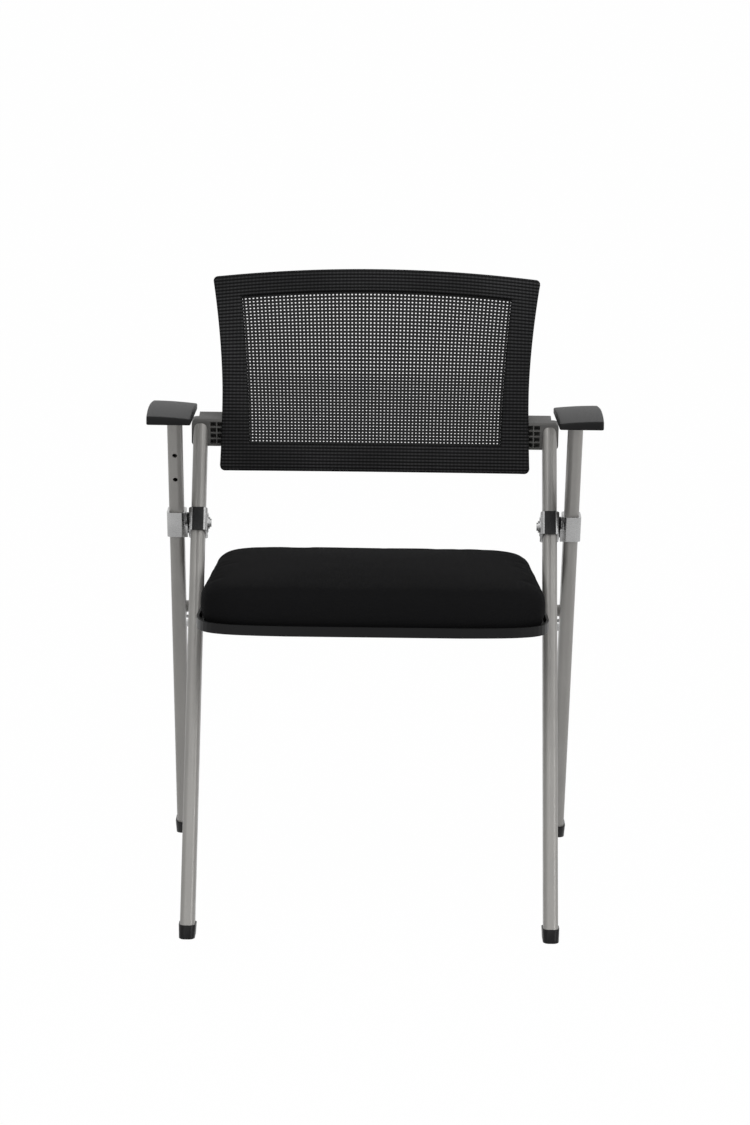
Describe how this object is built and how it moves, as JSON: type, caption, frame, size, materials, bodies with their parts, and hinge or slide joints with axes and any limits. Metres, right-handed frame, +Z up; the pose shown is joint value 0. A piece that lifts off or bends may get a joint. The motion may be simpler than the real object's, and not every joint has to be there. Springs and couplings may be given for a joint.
{
  "type": "folding armchair",
  "caption": "Folding armchair with crossed oval steel legs, bowed mesh back, upholstered tilting seat and short arm pads on the posts.",
  "frame": {"origin": "on the floor, under the middle of the chair's overall box, opened for use", "axes": "+X to the sitter's left, +Y to the rear, +Z up"},
  "size_m": [0.6, 0.5161, 0.8183],
  "materials": {
    "grey_enamel": "satin silver-grey powder coat",
    "cast_grey": "fine-textured grey casting",
    "bright_steel": "bright plated steel",
    "black_steel": "black oxide",
    "black_plastic": "moulded, satin",
    "pad_plastic": "soft-touch moulded, fine grain",
    "black_rubber": "matt rubber",
    "mesh": "woven elastic mesh",
    "mesh_border": "doubled mesh over a moulded frame",
    "seat_cloth": "fine black upholstery cloth"
  },
  "bodies": {
    "front_frame": {"front_leg_left": "grey_enamel", "front_leg_right": "grey_enamel", "front_cross_tube": "grey_enamel", "front_foot_left": "black_rubber", "front_foot_right": "black_rubber", "front_collar_left": "bright_steel", "front_collar_right": "bright_steel", "collar_insert_left": "black_plastic", "collar_insert_right": "black_plastic", "pivot_bolt_left": "bright_steel", "pivot_bolt_right": "bright_steel", "pivot_nut_left": "bright_steel", "pivot_nut_right": "bright_steel", "back_bracket_left": "cast_grey", "back_bracket_right": "cast_grey", "back_frame": "mesh_border", "back_mesh": "mesh", "back_screws": "black_steel", "seat_bolt_left": "bright_steel", "seat_bolt_right": "bright_steel"},
    "rear_frame": {"rear_leg_left": "grey_enamel", "rear_leg_right": "grey_enamel", "rear_cross_tube": "grey_enamel", "rear_foot_left": "black_rubber", "rear_foot_right": "black_rubber", "rear_collar_left": "bright_steel", "rear_collar_right": "bright_steel", "pivot_washer_left": "black_plastic", "pivot_washer_right": "black_plastic", "arm_plate_left": "grey_enamel", "arm_plate_right": "grey_enamel", "arm_pad_left": "pad_plastic", "arm_pad_right": "pad_plastic", "arm_screws": "black_steel"},
    "seat": {"seat_pan": "black_plastic", "seat_cushion": "seat_cloth", "seat_bracket_left": "grey_enamel", "seat_bracket_right": "grey_enamel", "seat_washer_left": "black_plastic", "seat_washer_right": "black_plastic", "seat_rest_left": "black_rubber", "seat_rest_right": "black_rubber", "seat_screws": "bright_steel"}
  },
  "joints": [
    {"name": "leg_fold", "type": "hinge", "parent": "front_frame", "child": "rear_frame", "pos_m": [0, 0.0387, 0.487], "axis": [-1, 0, 0], "range_deg": [0, 46]},
    {"name": "seat_tilt", "type": "hinge", "parent": "front_frame", "child": "seat", "pos_m": [0, -0.02898, 0.36845], "axis": [1, 0, 0], "range_deg": [0, 46]}
  ]
}
